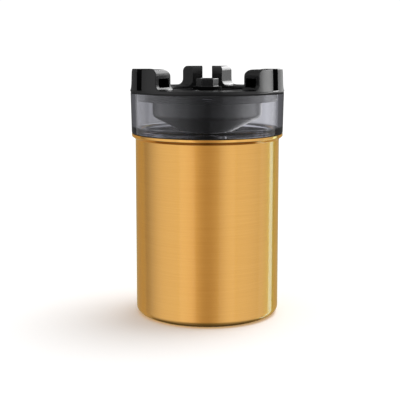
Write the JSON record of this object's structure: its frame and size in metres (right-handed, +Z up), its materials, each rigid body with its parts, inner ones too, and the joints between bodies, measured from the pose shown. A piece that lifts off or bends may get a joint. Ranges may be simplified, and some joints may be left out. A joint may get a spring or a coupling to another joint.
{
  "type": "blade grinder cup",
  "caption": "Cylindrical glass jar in a satin metal sleeve with a clear collar, closed by a blade carrier whose black castellated ring surrounds a hexagonal drive coupling.",
  "frame": {"origin": "centre of the resting face, on the surface it stands on", "axes": "+Z up from the jar's closed end to the bayonet ring, -Y towards the gap between the two windowed tabs"},
  "size_m": [0.08, 0.08, 0.129],
  "materials": {
    "gold_sleeve": "satin gold-coloured outside, bare metal inside",
    "smoky_glass": "clear, faintly smoky",
    "black_gloss": "glossy moulded",
    "black_satin": "satin moulded",
    "black_silicone": "matt",
    "grey_foam": "matt closed-cell pad",
    "stainless_steel": "brushed",
    "spring_steel": "bright, dark tempered",
    "sintered_bronze": "matt sintered",
    "red_seal": "satin silicone",
    "ivory_ptfe": "satin"
  },
  "bodies": {
    "jar": {"metal_sleeve": "gold_sleeve", "glass_jar": "smoky_glass", "rim_gasket": "black_silicone", "base_cushion": "grey_foam", "foot_pad": "black_silicone"},
    "seal": {"carrier_seal": "black_silicone"},
    "carrier": {"bayonet_ring": "black_gloss", "blade_carrier": "black_satin", "ring_screws": "stainless_steel", "hub_sleeve": "stainless_steel", "hub_oring": "black_silicone", "lower_bush": "sintered_bronze", "upper_bush": "sintered_bronze", "shaft_seal": "red_seal", "seal_cap": "stainless_steel"},
    "rotor": {"drive_shaft": "stainless_steel", "drive_coupling": "black_satin", "coupling_screw": "stainless_steel", "thrust_washer": "ivory_ptfe", "retaining_ring": "spring_steel", "upper_blade": "stainless_steel", "blade_spacer": "stainless_steel", "lower_blade": "stainless_steel", "lock_washer": "spring_steel", "blade_nut": "stainless_steel"}
  },
  "joints": [
    {"name": "carrier_lift", "type": "slide", "parent": "jar", "child": "seal", "axis": [0, 0, 1], "range_m": [0, 0.045]},
    {"name": "carrier_turn", "type": "hinge", "parent": "seal", "child": "carrier", "pos_m": [0, 0, 0.1165], "axis": [0, 0, 1], "range_deg": [0, 1349]},
    {"name": "rotor_spin", "type": "hinge", "parent": "carrier", "child": "rotor", "pos_m": [0, 0, 0.105], "axis": [0, 0, 1], "continuous": true}
  ],
  "couplings": [
    {"joint": "carrier_lift", "follows": "carrier_turn", "m_per_rad": 0.0019099}
  ]
}
